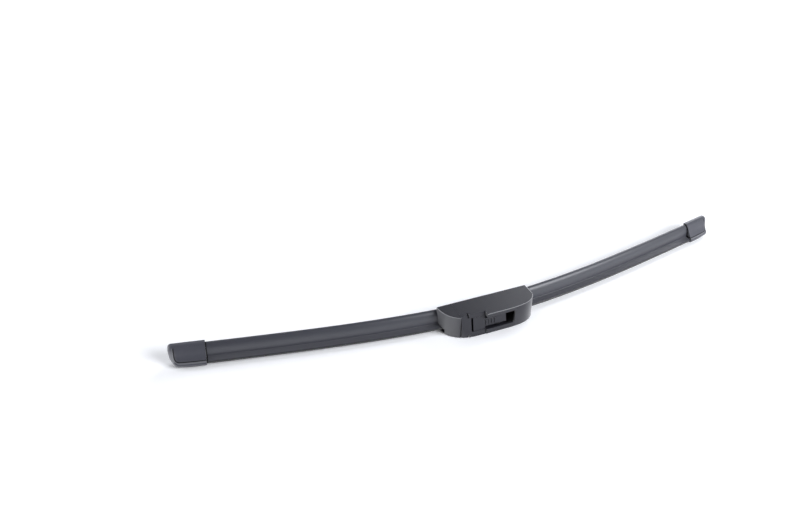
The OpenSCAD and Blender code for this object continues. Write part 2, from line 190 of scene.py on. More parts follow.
def use_group(tree: bpy.types.NodeTree, group: bpy.types.NodeTree,
              **values: object) -> bpy.types.Node:
    """Places a shared group in a material and sets its unlinked inputs.

    Args:
        tree: The material's node tree.
        group: The shared group.
        values: Input names and values.

    Returns:
        The group node.
    """
    node = tree.nodes.new("ShaderNodeGroup")
    node.node_tree = group
    for name, value in values.items():
        node.inputs[name].default_value = value
    return node


def rgba(colour: tuple[float, float, float]) -> tuple[float, float, float, float]:
    """The colour with full alpha."""
    return (*colour, 1.0)


class Effects:
    """Node groups that several finishes share, each built once.

    Each pair of numbers is where an effect starts and where it is full: for edges along the
    pointiness, for the painted side light on the ends along the size of the normal's X, and for
    the painted shade on the underside along its Z. Painted highlights on rims lie where the
    normal's Z is RIM_Z, within RIM_SPREAD.
    """

    EDGES = (0.52, 0.62)
    ENDS = (0.12, 0.95)
    UNDERSIDE = (-0.2, -0.75)
    RIM_Z, RIM_SPREAD = 0.65, 0.27
    DRAWN_OUT = (9.0, 2600.0, 1.0)

    def __init__(self) -> None:
        """Builds the groups."""
        self.grain = self._grain()
        self.drift = self._drift()
        self.streaks = self._streaks()
        self.wear = self._wear()
        # painted light: side light on the ends, highlights on rims and on a strip
        self.painted_light = self._painted_light()
        # painted shade: under the pieces and in dark lines
        self.painted_shade = self._painted_shade()

    @staticmethod
    def _grain() -> bpy.types.NodeTree:
        """Eroded mould texture: fine cells over soft waves, as a normal and as a mask.

        Returns:
            The group.
        """
        tree, start, end = group_tree(
            "eroded_grain",
            {"Vector": VECTOR, "Scale": FLOAT, "Depth": FLOAT},
            {"Normal": VECTOR, "Mask": FLOAT},
        )
        cells = add_node(tree, "TexVoronoi", feature="SMOOTH_F1", Smoothness=0.6)
        waves = add_node(tree, "TexNoise", Detail=3.0, Roughness=0.6)
        blend = add_node(tree, "Mix", data_type="FLOAT", Factor=0.55)
        bump = add_node(tree, "Bump", Strength=1.0)
        wire(
            tree,
            (start, "Vector", cells, "Vector"), (start, "Scale", cells, "Scale"),
            (start, "Vector", waves, "Vector"), (start, "Scale", waves, "Scale"),
            (cells, "Distance", blend, "A"), (waves, "Fac", blend, "B"),
            (blend, "Result", bump, "Height"), (start, "Depth", bump, "Distance"),
            (bump, "Normal", end, "Normal"), (blend, "Result", end, "Mask"),
        )
        return tree

    @staticmethod
    def _drift() -> bpy.types.NodeTree:
        """Slow change of tone over a piece: a colour multiplied by 1 plus or minus an amount.

        Returns:
            The group.
        """
        tree, start, end = group_tree(
            "tone_drift",
            {"Vector": VECTOR, "Scale": FLOAT, "Colour": COLOUR, "Amount": FLOAT},
            {"Colour": COLOUR, "Mask": FLOAT},
        )
        noise = add_node(tree, "TexNoise", Detail=4.0, Roughness=0.65)
        centred = maths(tree, "SUBTRACT", None, 0.5)
        gain = maths(tree, "MULTIPLY_ADD", None, None, 1.0)
        scaled = add_node(tree, "VectorMath", operation="SCALE")
        wire(
            tree,
            (start, "Vector", noise, "Vector"), (start, "Scale", noise, "Scale"),
            (noise, "Fac", centred, 0), (centred, 0, gain, 0), (start, "Amount", gain, 1),
            (start, "Colour", scaled, 0), (gain, 0, scaled, "Scale"),
            (scaled, 0, end, "Colour"), (noise, "Fac", end, "Mask"),
        )
        return tree

    def _streaks(self) -> bpy.types.NodeTree:
        """Die lines of an extrusion: noise drawn out along U, as a normal and as a mask.

        Returns:
            The group.
        """
        tree, start, end = group_tree(
            "die_lines",
            {"Vector": VECTOR, "Depth": FLOAT},
            {"Normal": VECTOR, "Mask": FLOAT},
        )
        drawn = add_node(tree, "Mapping", Scale=self.DRAWN_OUT)
        noise = add_node(tree, "TexNoise", Scale=1.0, Detail=3.0, Roughness=0.55)
        fine = add_node(tree, "TexNoise", Scale=5200.0, Detail=2.0)
        blend = add_node(tree, "Mix", data_type="FLOAT", Factor=0.35)
        bump = add_node(tree, "Bump", Strength=1.0)
        wire(
            tree,
            (start, "Vector", drawn, "Vector"), (start, "Vector", fine, "Vector"),
            (drawn, "Vector", noise, "Vector"), (noise, "Fac", blend, "A"),
            (fine, "Fac", blend, "B"), (blend, "Result", bump, "Height"),
            (start, "Depth", bump, "Distance"), (bump, "Normal", end, "Normal"),
            (noise, "Fac", end, "Mask"),
        )
        return tree

    def _wear(self) -> bpy.types.NodeTree:
        """Paler edges: the pointed parts of a mesh, broken up by noise, mix in a pale colour.

        Returns:
            The group.
        """
        tree, start, end = group_tree(
            "edge_wear",
            {"Vector": VECTOR, "Colour": COLOUR, "Pale": COLOUR, "Amount": FLOAT},
            {"Colour": COLOUR},
        )
        shape = add_node(tree, "NewGeometry")
        edge = add_node(tree, "MapRange", clamp=True, From_Min=self.EDGES[0],
                        From_Max=self.EDGES[1])
        noise = add_node(tree, "TexNoise", Scale=900.0, Detail=3.0)
        broken = maths(tree, "MULTIPLY")
        amount = maths(tree, "MULTIPLY")
        blend = add_node(tree, "Mix", data_type="RGBA")
        wire(
            tree,
            (shape, "Pointiness", edge, "Value"), (start, "Vector", noise, "Vector"),
            (edge, "Result", broken, 0), (noise, "Fac", broken, 1), (broken, 0, amount, 0),
            (start, "Amount", amount, 1), (amount, 0, blend, "Factor"),
            (start, "Colour", blend, "A"), (start, "Pale", blend, "B"),
            (blend, "Result", end, "Colour"),
        )
        return tree

    def _painted_light(self) -> bpy.types.NodeTree:
        """Painted light: adds a grey where the surface faces along X, as painted side light, and
        as painted highlights on rims and on a strip.

        The strip, which gets Gain, lies where Place is within Width of Strip.

        Returns:
            The group.
        """
        tree, start, end = group_tree(
            "painted_light_parts",
            {"Normal": VECTOR, "Colour": COLOUR, "Ends": FLOAT, "Rims": FLOAT,
             "Place": FLOAT, "Strip": FLOAT, "Width": FLOAT, "Gain": FLOAT},
            {"Colour": COLOUR},
        )
        parts = add_node(tree, "SeparateXYZ")
        size = maths(tree, "ABSOLUTE")
        rise = add_node(tree, "MapRange", clamp=True, interpolation_type="SMOOTHSTEP",
                        From_Min=self.ENDS[0], From_Max=self.ENDS[1])
        rim = maths(tree, "COMPARE", None, self.RIM_Z, self.RIM_SPREAD)
        strip = maths(tree, "COMPARE")
        ends = maths(tree, "MULTIPLY")
        both = maths(tree, "MULTIPLY_ADD")
        lit = maths(tree, "MULTIPLY_ADD")
        grey = add_node(tree, "CombineXYZ")
        total = add_node(tree, "VectorMath", operation="ADD")
        wire(
            tree,
            (start, "Normal", parts, 0), (parts, "X", size, 0), (size, 0, rise, "Value"),
            (rise, "Result", ends, 0), (start, "Ends", ends, 1), (parts, "Z", rim, 0),
            (rim, 0, both, 0), (start, "Rims", both, 1), (ends, 0, both, 2),
            (start, "Place", strip, 0), (start, "Strip", strip, 1), (start, "Width", strip, 2),
            (strip, 0, lit, 0), (start, "Gain", lit, 1), (both, 0, lit, 2),
            (lit, 0, grey, "X"), (lit, 0, grey, "Y"), (lit, 0, grey, "Z"),
            (grey, 0, total, 0), (start, "Colour", total, 1), (total, 0, end, "Colour"),
        )
        return tree

    def _painted_shade(self) -> bpy.types.NodeTree:
        """Painted shade: darkens faces that look down, and by Depth paints a line of shade where
        Place is near Line.

        Returns:
            The group.
        """
        tree, start, end = group_tree(
            "painted_shade",
            {"Normal": VECTOR, "Colour": COLOUR, "Under": FLOAT, "Place": FLOAT, "Line": FLOAT,
             "Width": FLOAT, "Depth": FLOAT},
            {"Colour": COLOUR, "Mask": FLOAT},
        )
        parts = add_node(tree, "SeparateXYZ")
        under = add_node(tree, "MapRange", clamp=True, interpolation_type="SMOOTHSTEP",
                         From_Min=self.UNDERSIDE[0], From_Max=self.UNDERSIDE[1])
        amount = maths(tree, "MULTIPLY")
        line = maths(tree, "COMPARE")
        deep = maths(tree, "MULTIPLY")
        most = maths(tree, "MAXIMUM")
        keep = maths(tree, "SUBTRACT", 1.0)
        scaled = add_node(tree, "VectorMath", operation="SCALE")
        wire(
            tree,
            (start, "Normal", parts, 0), (parts, "Z", under, "Value"),
            (under, "Result", amount, 0), (start, "Under", amount, 1),
            (start, "Place", line, 0), (start, "Line", line, 1), (start, "Width", line, 2),
            (line, 0, deep, 0), (start, "Depth", deep, 1), (amount, 0, most, 0),
            (deep, 0, most, 1), (most, 0, keep, 1), (start, "Colour", scaled, 0),
            (keep, 0, scaled, "Scale"), (scaled, 0, end, "Colour"), (most, 0, end, "Mask"),
        )
        return tree


# ---------------------------------------------------------------- finishes


@dataclass(frozen=True)
class Finish:
    """What every recipe has, and how its material starts.

    A mask takes the roughness from glossier below its own value to duller above it.
    """

    name: str
    colour: tuple[float, float, float]
    roughness: float

    def make(self, effects: Effects) -> bpy.types.Material:
        """Builds the material.

        Args:
            effects: The shared node groups.

        Returns:
            The finished material.
        """
        material = bpy.data.materials.new(self.name)
        material.use_nodes = True
        tree = material.node_tree
        self.fill(tree, tree.nodes["Principled BSDF"], effects)
        return material

    def fill(self, tree: bpy.types.NodeTree, shader: bpy.types.Node, effects: Effects) -> None:
        """Adds the recipe's own nodes.

        Args:
            tree: The material's node tree.
            shader: Its Principled BSDF.
            effects: The shared node groups.
        """
        raise NotImplementedError

    def spread(self, tree: bpy.types.NodeTree, glossier: float, duller: float) -> bpy.types.Node:
        """Node that turns a mask into a roughness around the finish's own."""
        return add_node(tree, "MapRange", To_Min=self.roughness - glossier,
                        To_Max=self.roughness + duller)


@dataclass(frozen=True)
class MouldedPlastic(Finish):
    """Satin moulded plastic with an eroded grain, rubbed parts and grime.

    The line of painted shade and the painted highlight strip lie where the UV map's V has
    their value.
    """

    specular: float = 0.5
    grain_scale: float = 3200.0
    grain_depth: float = 0.000018
    tone: float = 0.12
    tone_scale: float = 55.0
    pale: tuple[float, float, float] = (0.16, 0.165, 0.18)
    worn: float = 0.35
    # ends, rims and strip paint side light and highlights; under and line paint shade
    ends: float = 0.0
    rims: float = 0.0
    under: float = 0.8
    line: float = 1.0
    line_width: float = 0.0
    strip: float = 1.0
    strip_width: float = 0.0
    strip_gain: float = 0.09
    dulled: float = 0.35

    def fill(self, tree: bpy.types.NodeTree, shader: bpy.types.Node, effects: Effects) -> None:
        """Colour goes through drift, painted light, wear and painted shade; grain gives the gloss.

        Args:
            tree: The material's node tree.
            shader: Its Principled BSDF.
            effects: The shared node groups.
        """
        shader.inputs["Specular IOR Level"].default_value = self.specular
        coords = add_node(tree, "TexCoord")
        parts = add_node(tree, "SeparateXYZ")
        drift = use_group(tree, effects.drift, Scale=self.tone_scale, Colour=rgba(self.colour),
                          Amount=self.tone)
        # painted side light on the ends and painted highlights on rims and on a strip
        light_paint = use_group(tree, effects.painted_light, Ends=self.ends, Rims=self.rims, Strip=self.strip,
                        Width=self.strip_width, Gain=self.strip_gain)
        wear = use_group(tree, effects.wear, Pale=rgba(self.pale), Amount=self.worn)
        # painted shade under the piece and along a line
        painted_shade = use_group(tree, effects.painted_shade, Under=self.under, Line=self.line,
                          Width=self.line_width, Depth=1.0)
        grain = use_group(tree, effects.grain, Scale=self.grain_scale, Depth=self.grain_depth)
        rough = self.spread(tree, 0.06, 0.08)
        dull = maths(tree, "MULTIPLY_ADD", None, self.dulled)
        wire(
            tree,
            (coords, "Object", drift, "Vector"), (coords, "Object", wear, "Vector"),
            (coords, "Object", grain, "Vector"), (coords, "Normal", light_paint, "Normal"),
            (coords, "Normal", painted_shade, "Normal"), (coords, "UV", parts, 0),
            (parts, "Y", painted_shade, "Place"), (parts, "Y", light_paint, "Place"),
            (drift, "Colour", light_paint, "Colour"), (light_paint, "Colour", wear, "Colour"),
            (wear, "Colour", painted_shade, "Colour"), (painted_shade, "Colour", shader, "Base Color"),
            (grain, "Mask", rough, "Value"), (painted_shade, "Mask", dull, 0),
            (rough, "Result", dull, 2), (dull, 0, shader, "Roughness"),
            (grain, "Normal", shader, "Normal"),
        )


@dataclass(frozen=True)
class ExtrudedRubber(Finish):
    """Extruded rubber with die lines along its length.

    The UV map gives U along the piece and V round its section. The line of painted shade
    crosses the piece where U has its value on either side, and the painted highlight strip
    and the tip's painted shade run along V.
    """

    specular: float = 0.5
    line_depth: float = 0.00001
    tone: float = 0.15
    tone_scale: float = 26.0
    # under and line paint shade, strip paints a highlight, tip paints shade on the fin's tip face
    under: float = 0.0
    line: float = 1.0
    line_width: float = 0.0
    strip: float = 1.0
    strip_width: float = 0.0
    strip_gain: float = 0.027
    tip: float = 1.0
    tip_width: float = 0.0
    tip_shade: float = 0.75
    dulled: float = 0.4

    def fill(self, tree: bpy.types.NodeTree, shader: bpy.types.Node, effects: Effects) -> None:
        """Colour goes through drift, a painted highlight strip, painted shade on the tip and
        painted shade underneath and along a line; die lines give gloss and relief.

        Args:
            tree: The material's node tree.
            shader: Its Principled BSDF.
            effects: The shared node groups.
        """
        shader.inputs["Specular IOR Level"].default_value = self.specular
        coords = add_node(tree, "TexCoord")
        parts = add_node(tree, "SeparateXYZ")
        drift = use_group(tree, effects.drift, Scale=self.tone_scale, Colour=rgba(self.colour),
                          Amount=self.tone)
        lines = use_group(tree, effects.streaks, Depth=self.line_depth)
        # painted highlight strip along V
        light_paint = use_group(tree, effects.painted_light, Strip=self.strip, Width=self.strip_width,
                        Gain=self.strip_gain)
        # painted shade on the fin's tip face
        tip = use_group(tree, effects.painted_shade, Line=self.tip, Width=self.tip_width,
                        Depth=self.tip_shade)
        # painted shade underneath and in a line across the piece
        painted_shade = use_group(tree, effects.painted_shade, Under=self.under, Line=self.line,
                          Width=self.line_width, Depth=1.0)
        station = maths(tree, "ABSOLUTE")
        rough = self.spread(tree, 0.05, 0.07)
        dull = maths(tree, "MULTIPLY_ADD", None, self.dulled)
        wire(
            tree,
            (coords, "Object", drift, "Vector"), (coords, "UV", lines, "Vector"),
            (coords, "UV", parts, 0), (coords, "Normal", painted_shade, "Normal"),
            (parts, "X", station, 0), (station, 0, painted_shade, "Place"),
            (parts, "Y", light_paint, "Place"), (parts, "Y", tip, "Place"),
            (drift, "Colour", light_paint, "Colour"), (light_paint, "Colour", tip, "Colour"),
            (tip, "Colour", painted_shade, "Colour"), (painted_shade, "Colour", shader, "Base Color"),
            (lines, "Mask", rough, "Value"), (painted_shade, "Mask", dull, 0),
            (rough, "Result", dull, 2), (dull, 0, shader, "Roughness"),
            (lines, "Normal", shader, "Normal"),
        )


@dataclass(frozen=True)
class Steel(Finish):
    """Rolled, plated or coated steel with fine scratches, drawn out along X."""

    metallic: float = 1.0
    scratch_depth: float = 0.000006
    scratch_scale: float = 5200.0
    drawn_out: tuple[float, float, float] = (0.04, 1.0, 1.0)
    tone: float = 0.2
    tone_scale: float = 120.0

    def fill(self, tree: bpy.types.NodeTree, shader: bpy.types.Node, effects: Effects) -> None:
        """Drift gives the colour and the gloss, and drawn-out grain the scratches.

        Args:
            tree: The material's node tree.
            shader: Its Principled BSDF.
            effects: The shared node groups.
        """
        shader.inputs["Metallic"].default_value = self.metallic
        coords = add_node(tree, "TexCoord")
        drawn = add_node(tree, "Mapping", Scale=self.drawn_out)
        drift = use_group(tree, effects.drift, Scale=self.tone_scale, Colour=rgba(self.colour),
                          Amount=self.tone)
        grain = use_group(tree, effects.grain, Scale=self.scratch_scale,
                          Depth=self.scratch_depth)
        rough = self.spread(tree, 0.08, 0.12)
        wire(
            tree,
            (coords, "Object", drift, "Vector"), (coords, "Object", drawn, "Vector"),
            (drawn, "Vector", grain, "Vector"), (drift, "Colour", shader, "Base Color"),
            (drift, "Mask", rough, "Value"), (rough, "Result", shader, "Roughness"),
            (grain, "Normal", shader, "Normal"),
        )


@dataclass
class Finishes:
    """Every material of the blade."""

    effects: Effects
    made: dict[Slot, bpy.types.Material] = field(default_factory=dict)

    def __post_init__(self) -> None:
        """Builds each slot's material."""
        recipes = {
            Slot.RUBBER: ExtrudedRubber("lip_rubber", (0.012, 0.012, 0.013), roughness=0.55),
            # spoiler: painted shade underneath, a painted shadow line at the cap mouths, a painted
            # highlight strip on the fin and painted shade on the fin's tip face
            Slot.SPOILER: ExtrudedRubber("spoiler_rubber", (0.045, 0.046, 0.056), roughness=0.38,
                                         under=0.9, line=0.2111, line_width=0.0005,
                                         strip=0.0348, strip_width=0.00225,
                                         tip=0.0308, tip_width=0.00155),
            # caps: painted side light at the tips, painted shade in the groove and underneath, and
            # a painted highlight on the rim beside the groove
            Slot.CAP: MouldedPlastic("cap_plastic", (0.058, 0.059, 0.072), roughness=0.4,
                                     ends=0.12, line=-0.0001, line_width=0.00042,
                                     strip=0.0006, strip_width=0.00025),
            # housing and adapter: painted side light on the ends, painted highlights on the rim
            # roundings and painted shade underneath
            Slot.HOUSING: MouldedPlastic("housing_plastic", (0.019, 0.019, 0.0245),
                                         roughness=0.36, specular=0.28, worn=0.0,
                                         ends=0.12, rims=0.2),
            Slot.ADAPTER: MouldedPlastic("adapter_plastic", (0.02, 0.02, 0.0255),
                                         roughness=0.38, specular=0.28, grain_depth=0.00001,
                                         worn=0.0, rims=0.1),
            Slot.RAIL: Steel("rail_steel", (0.42, 0.43, 0.45), roughness=0.3),
            Slot.BRACKET: Steel("bracket_coating", (0.022, 0.022, 0.024), roughness=0.42,
                                metallic=0.0),
            Slot.RIVET: Steel("rivet_plating", (0.5, 0.51, 0.52), roughness=0.3),
        }
        self.made = {slot: recipe.make(self.effects) for slot, recipe in recipes.items()}

    def dress(self, piece: bpy.types.Object, slot: Slot, node: str,
              body: Body = Body.BLADE) -> bpy.types.Object:
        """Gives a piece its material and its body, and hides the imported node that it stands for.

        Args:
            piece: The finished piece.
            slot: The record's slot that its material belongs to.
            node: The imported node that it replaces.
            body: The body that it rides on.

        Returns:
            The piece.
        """
        piece.data.materials.clear()
        piece.data.materials.append(self.made[slot])
        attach(piece, body.value)
        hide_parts(node)
        return piece


# ---------------------------------------------------------------- mesh tools


def new_object(name: str, data: bpy.types.ID) -> bpy.types.Object:
    """Makes an object and links it to the scene.

    Args:
        name: Its name.
        data: The mesh, light or camera that it holds.

    Returns:
        The object.
    """
    made = bpy.data.objects.new(name, data)
    bpy.context.scene.collection.objects.link(made)
    return made


def read_all(items: bpy.types.bpy_prop_collection, name: str, width: int = 1,
             kind: type = np.float32) -> np.ndarray:
    """Reads one property of all of a mesh's items.

    Args:
        items: The mesh's vertices, edges, loops or polygons.
        name: The property.
        width: How many numbers each item has.
        kind: The array's type.

    Returns:
        An array of shape (n,), or (n, width) where the width is more than 1.
    """
    values = np.empty(len(items) * width, kind)
    items.foreach_get(name, values)
    return values.reshape(-1, width) if width > 1 else values


def running_length(points: np.ndarray) -> np.ndarray:
    """Distance along an open line of points, 0 at the first: the sum of the steps up to it."""
    return np.concatenate([[0.0], np.cumsum(np.linalg.norm(np.diff(points, axis=0), axis=1))])


def rounded(corners: np.ndarray, radius: float, steps: int) -> np.ndarray:
    """Rounds every corner of a closed outline.

    Each corner p is replaced by the parabola from a to b that bends at p, where a and b lie on
    the two edges at the distance radius from p, or at 0.45 of an edge that is short.

    Args:
        corners: Outline of shape (m, 2).
        radius: The distance from the corner, in the outline's unit.
        steps: Points for each corner.

    Returns:
        Outline of shape (m * steps, 2).
    """
    ends = []
    for shift in (1, -1):
        edge = np.roll(corners, shift, axis=0) - corners
        length = np.linalg.norm(edge, axis=1, keepdims=True)
        ends.append(corners + edge * np.minimum(radius, 0.45 * length)
                    / np.maximum(length, 1e-9))
    t = np.linspace(0.0, 1.0, steps)[:, None]
    curve = ((1 - t) ** 2 * ends[0][:, None] + 2 * t * (1 - t) * corners[:, None]
             + t**2 * ends[1][:, None])
    return curve.reshape(-1, 2)


def smooth_through(x: np.ndarray, at: tuple[float, ...], known: tuple[float, ...]) -> np.ndarray:
    """Cubic Hermite curve through knots, with the slopes of central differences.

    Args:
        x: Where the curve is wanted.
        at: Rising positions of the known values.
        known: The known values.

    Returns:
        The curve's values at x.
    """
    knots, values = np.array(at, float), np.array(known, float)
    slopes = np.gradient(values, knots)
    i = np.clip(np.searchsorted(knots, x) - 1, 0, len(knots) - 2)
    step = knots[i + 1] - knots[i]
    t = np.clip((x - knots[i]) / step, 0.0, 1.0)
    return ((1 + 2 * t) * (1 - t) ** 2 * values[i] + t * (1 - t) ** 2 * step * slopes[i]
            + t**2 * (3 - 2 * t) * values[i + 1] + t**2 * (t - 1) * step * slopes[i + 1])


def lofted(name: str, rings: np.ndarray, along: np.ndarray,
           sharp: float = 40.0) -> bpy.types.Object:
    """Closed mesh through rings of equal length, with flat ends and a UV map in metres.

    The signed volume of the walls, a sum of triple products, decides which way faces point.

    Args:
        name: The new object's name.
        rings: Points of shape (k, m, 3).
        along: The U coordinate of each ring, shape (k,).
        sharp: Edges with a larger angle than this, in degrees, stay sharp.

    Returns:
        The new object, linked to the scene.
    """
    k, m, _ = rings.shape
    flat = rings.reshape(-1, 3)
    i, j = np.meshgrid(np.arange(k - 1), np.arange(m), indexing="ij")
    j2 = (j + 1) % m
    quads = np.stack([i * m + j, (i + 1) * m + j, (i + 1) * m + j2, i * m + j2], -1).reshape(-1, 4)
    first, last = np.arange(m), (k - 1) * m + np.arange(m)[::-1]
    a, b, c, d = (flat[quads[:, n]] - flat.mean(axis=0) for n in range(4))
    if (a * np.cross(b, c)).sum() + (a * np.cross(c, d)).sum() < 0:
        quads, first, last = quads[:, ::-1], first[::-1], last[::-1]
    mesh = bpy.data.meshes.new(name)
    mesh.from_pydata(flat.tolist(), [], quads.tolist() + [first.tolist(), last.tolist()])
    across = running_length(np.concatenate([rings[0], rings[0][:1]]))
    column = quads % m
    wrapped = np.where((column == 0) & (column.max(axis=1, keepdims=True) == m - 1), m, column)
    walls = np.stack([along[quads // m], across[wrapped]], -1).reshape(-1, 2)
    ends = [np.stack([along[ids // m], across[ids % m]], -1) for ids in (first, last)]
    layer = mesh.uv_layers.new(name="extrusion")
    layer.data.foreach_set("uv", np.concatenate([walls, *ends]).astype(np.float32).ravel())
    mesh.shade_smooth()
    mesh.set_sharp_from_angle(angle=math.radians(sharp))
    mesh.validate()
    return new_object(name, mesh)


def cut_out(piece: bpy.types.Object, tools: list[bpy.types.Object]) -> None:
    """Cuts the tools out of a piece, bakes that into its mesh and deletes the tools.

    Args:
        piece: The object that is cut.
        tools: Closed meshes that are its cavities.
    """
    for tool in tools:
        cut = piece.modifiers.new("cavity", "BOOLEAN")
        cut.operation, cut.solver, cut.object = "DIFFERENCE", "EXACT", tool
    evaluated = piece.evaluated_get(bpy.context.evaluated_depsgraph_get())
    mesh = bpy.data.meshes.new_from_object(evaluated)
    piece.modifiers.clear()
    piece.data = mesh
    for tool in tools:
        bpy.data.objects.remove(tool)


def soften(piece: bpy.types.Object, width: float, segments: int = 2, angle: float = 32.0) -> None:
    """Gives a piece's sharp edges a small radius.

    Args:
        piece: The object.
        width: Width of the bevel.
        segments: Faces across it.
        angle: Edges that turn by less than this, in degrees, stay as they are.
    """
    bevel = piece.modifiers.new("edge_radius", "BEVEL")
    bevel.width = width
    bevel.segments = segments
    bevel.limit_method = "ANGLE"
    bevel.angle_limit = math.radians(angle)
    bevel.harden_normals = True
    bevel.miter_outer = "MITER_ARC"


# ---------------------------------------------------------------- the blade


@dataclass(frozen=True)
class Bow:
    """The blade's base line as it lies unloaded: it bends most in the middle."""

    length: float = 0.475
    radius: float = 0.435
    fade: float = 1.65
    pivot_height: float = 0.0143
    fine_steps: int = 4001

    @property
    def half(self) -> float:
        """Arc length from the middle to a tip."""
        return self.length / 2

    def heading(self, s: np.ndarray) -> np.ndarray:
        """Heading in radians: its curvature falls off as a power of the way to the tip."""
        end = self.half / ((self.fade + 1) * self.radius)
        return np.sign(s) * end * (1 - (1 - np.abs(s) / self.half) ** (self.fade + 1))

    def base_line(self, s: np.ndarray) -> tuple[np.ndarray, np.ndarray]:
        """Points of the base line, the sums of the headings' cosines and sines up to them.

        Args:
            s: Arc lengths from the middle, shape (k,).

        Returns:
            X and Y of the points, each of shape (k,).
        """
        fine = np.linspace(-self.half, self.half, self.fine_steps)
        turn = self.heading(fine)
        step = fine[1] - fine[0]
        x, y = (np.concatenate([[0.0], np.cumsum((f[1:] + f[:-1]) / 2 * step)])
                for f in (np.cos(turn), np.sin(turn)))
        x, y = x - np.interp(0.0, fine, x), y - np.interp(0.0, fine, y)
        return np.interp(s, fine, x), np.interp(s, fine, y) + self.pivot_height

    def carry(self, section: np.ndarray, s: np.ndarray) -> np.ndarray:
        """Carries a section along the bow.

        Args:
            section: Outline in mm as (height above the base line, side), shape (m, 2).
            s: Arc lengths, shape (k,).

        Returns:
            Rings of shape (k, m, 3).
        """
        x, y = self.base_line(s)
        turn = self.heading(s)
        n, z = section[:, 0] * MM, section[:, 1] * MM
        return np.stack([x[:, None] + np.outer(np.sin(turn), n),
                         y[:, None] - np.outer(np.cos(turn), n),
                         np.broadcast_to(z, (len(s), len(z)))], -1)


@dataclass(frozen=True)
class BeamSection:
    """Sizes of the extruded spoiler's section, in mm."""

    width: float = 11.9
    fin: float = 9.6
    ramp: float = 4.75
    ramp_foot: float = 0.6
    fin_root: float = 2.3
    fin_tip: float = 1.3
    flare: float = 0.55
    claw: float = 0.6
    claw_wall: float = 0.85
    claw_reach: float = 1.3
    slot_top: float = 1.6
    channel_top: float = 2.4
    channel_half: float = 2.8

    @property
    def half(self) -> float:
        """Half of the width."""
        return self.width / 2

    def outside(self, gap: float = 0.0) -> np.ndarray:
        """Outer outline, from the windward claw over the ramp and the fin to the leeward claw.

        The ramp is a quarter of an ellipse, and the fin's upper side a parabola.

        Args:
            gap: How far the outline is grown, for the seats around it.

        Returns:
            Points of shape (m, 2), which run clockwise.
        """
        turn = np.radians(np.linspace(0.0, 90.0, 31))
        ramp = np.stack([self.ramp_foot + (self.ramp - self.ramp_foot + gap) * np.sin(turn),
                         self.fin_root - self.half + gap
                         + (self.width - self.fin_root) * np.cos(turn)], -1)
        t = np.linspace(0.1, 1.0, 10)
        fin = np.stack([self.ramp + gap + (self.fin - 0.3 - self.ramp) * t,
                        gap - self.half + self.fin_root
                        - (self.fin_root - self.fin_tip) * (2 - t) * t], -1)
        low = -self.half - self.flare
        tip = np.array([[self.fin + gap, self.fin_tip - self.half - 0.25 + gap],
                        [self.fin + gap, low + 0.2], [self.fin - 0.3 + gap / 2, low - gap],
                        [self.fin - 0.8, low - gap], [self.fin - 2.4, -self.half - gap]])
        return np.concatenate([ramp, fin, tip])

    def closed(self) -> np.ndarray:
        """Whole section with its claws and its channel.

        Returns:
            Points of shape (m, 2), which run counter-clockwise.
        """
        wall = self.half - self.claw_wall
        lip = wall - self.claw_reach
        inside = np.array([
            [0, -self.half], [0, -lip], [self.claw, -lip], [self.claw, -wall],
            [self.slot_top, -wall], [self.slot_top, -self.channel_half],
            [self.channel_top, -self.channel_half], [self.channel_top, self.channel_half],
            [self.slot_top, self.channel_half], [self.slot_top, wall], [self.claw, wall],
            [self.claw, lip], [0, lip], [0, self.half],
        ])
        return np.concatenate([self.outside(), inside])[::-1]


@dataclass
class Spoilers:
    """The two extruded spoiler halves, from inside the housing to inside the caps."""

    bow: Bow
    section: BeamSection
    left_end: float = 0.026
    right_end: float = 0.024
    cap_length: float = 0.026
    cap_grip: float = 0.008
    corner_mm: float = 0.22
    rings: int = 96

    def build(self, finishes: Finishes) -> list[bpy.types.Object]:
        """Builds both halves.

        Args:
            finishes: The materials.

        Returns:
            The two pieces.
        """
        outline = rounded(self.section.closed(), self.corner_mm, 4)
        tip = self.bow.half - self.cap_length + self.cap_grip
        made = []
        for side, start, stop in (("left", -tip, -self.left_end), ("right", self.right_end, tip)):
            s = np.linspace(start, stop, self.rings)
            piece = lofted(f"spoiler_extrusion_{side}", self.bow.carry(outline, s), s)
            made.append(finishes.dress(piece, Slot.SPOILER, f"spoiler_{side}"))
        return made


@dataclass
class WipingRubber:
    """The rubber element: head, web between the rails, shoulder, neck, wedge and lip."""

    bow: Bow
    tip_setback: float = 0.0065
    corner_mm: float = 0.15
    rings: int = 150
    half_outline_mm: tuple[tuple[float, float], ...] = (
        (2.3, 2.2), (2.0, 2.5), (1.6, 2.5), (1.6, 0.9), (0.5, 0.9), (0.5, 3.1), (-0.5, 3.1),
        (-0.8, 2.7), (-0.8, 0.45), (-1.5, 0.45), (-1.6, 1.9), (-1.9, 2.1), (-2.3, 2.1),
        (-3.1, 1.05), (-3.7, 0.5), (-5.2, 0.35),
    )

    def build(self, finishes: Finishes) -> bpy.types.Object:
        """Builds the element as one sweep.

        Args:
            finishes: The materials.

        Returns:
            The piece.
        """
        half = np.array(self.half_outline_mm)
        outline = rounded(np.concatenate([half, half[::-1] * [1, -1]]), self.corner_mm, 3)
        reach = self.bow.half - self.tip_setback
        s = np.linspace(-reach, reach, self.rings)
        piece = lofted("rubber_element", self.bow.carry(outline, s), s)
        return finishes.dress(piece, Slot.RUBBER, "wiping_rubber")


